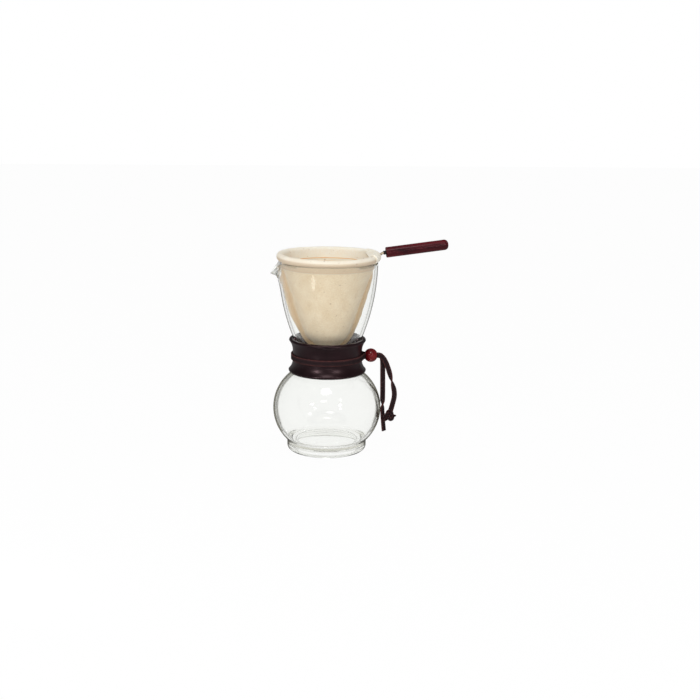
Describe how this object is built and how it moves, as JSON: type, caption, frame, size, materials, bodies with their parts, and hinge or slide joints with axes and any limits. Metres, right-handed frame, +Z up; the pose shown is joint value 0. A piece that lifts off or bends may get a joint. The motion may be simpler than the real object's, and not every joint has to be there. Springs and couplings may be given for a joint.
{
  "type": "cloth-filter drip coffee pot",
  "caption": "Hourglass glass server with a tied wooden neck collar and a lift-out flannel drip bag on a wire ring with a wooden handle.",
  "frame": {"origin": "on the pot's axis, in the plane that the foot stands on", "axes": "+Z up along the pot's axis, +X towards the filter's handle and the bead, the pouring lip at -X"},
  "size_m": [0.1797, 0.11, 0.2164],
  "materials": {
    "glass": "clear",
    "collar_wood": "dark lacquer",
    "lace": "suede",
    "bead_wood": "gloss lacquer",
    "flannel": "unbleached cotton",
    "wire": "plain",
    "ferrule": "black",
    "handle_wood": "red-brown lacquer"
  },
  "bodies": {
    "server": {"glass_server": "glass", "collar_half_front": "collar_wood", "collar_half_rear": "collar_wood", "tie_band": "lace"},
    "tie": {"tie_bead": "bead_wood", "tie_tail_straight": "lace", "tie_tail_knotted": "lace", "tie_knot": "lace"},
    "filter": {"filter_panel_front": "flannel", "filter_panel_rear": "flannel", "filter_hem": "flannel", "ring_wire": "wire", "handle_ferrule": "ferrule", "handle_grip": "handle_wood"}
  },
  "joints": [
    {"name": "filter_lift", "type": "slide", "parent": "server", "child": "filter", "axis": [0, 0, 1], "range_m": [0, 0.12]},
    {"name": "bead_slide", "type": "slide", "parent": "server", "child": "tie", "axis": [1, 0, 0], "range_m": [0, 0.006]}
  ]
}
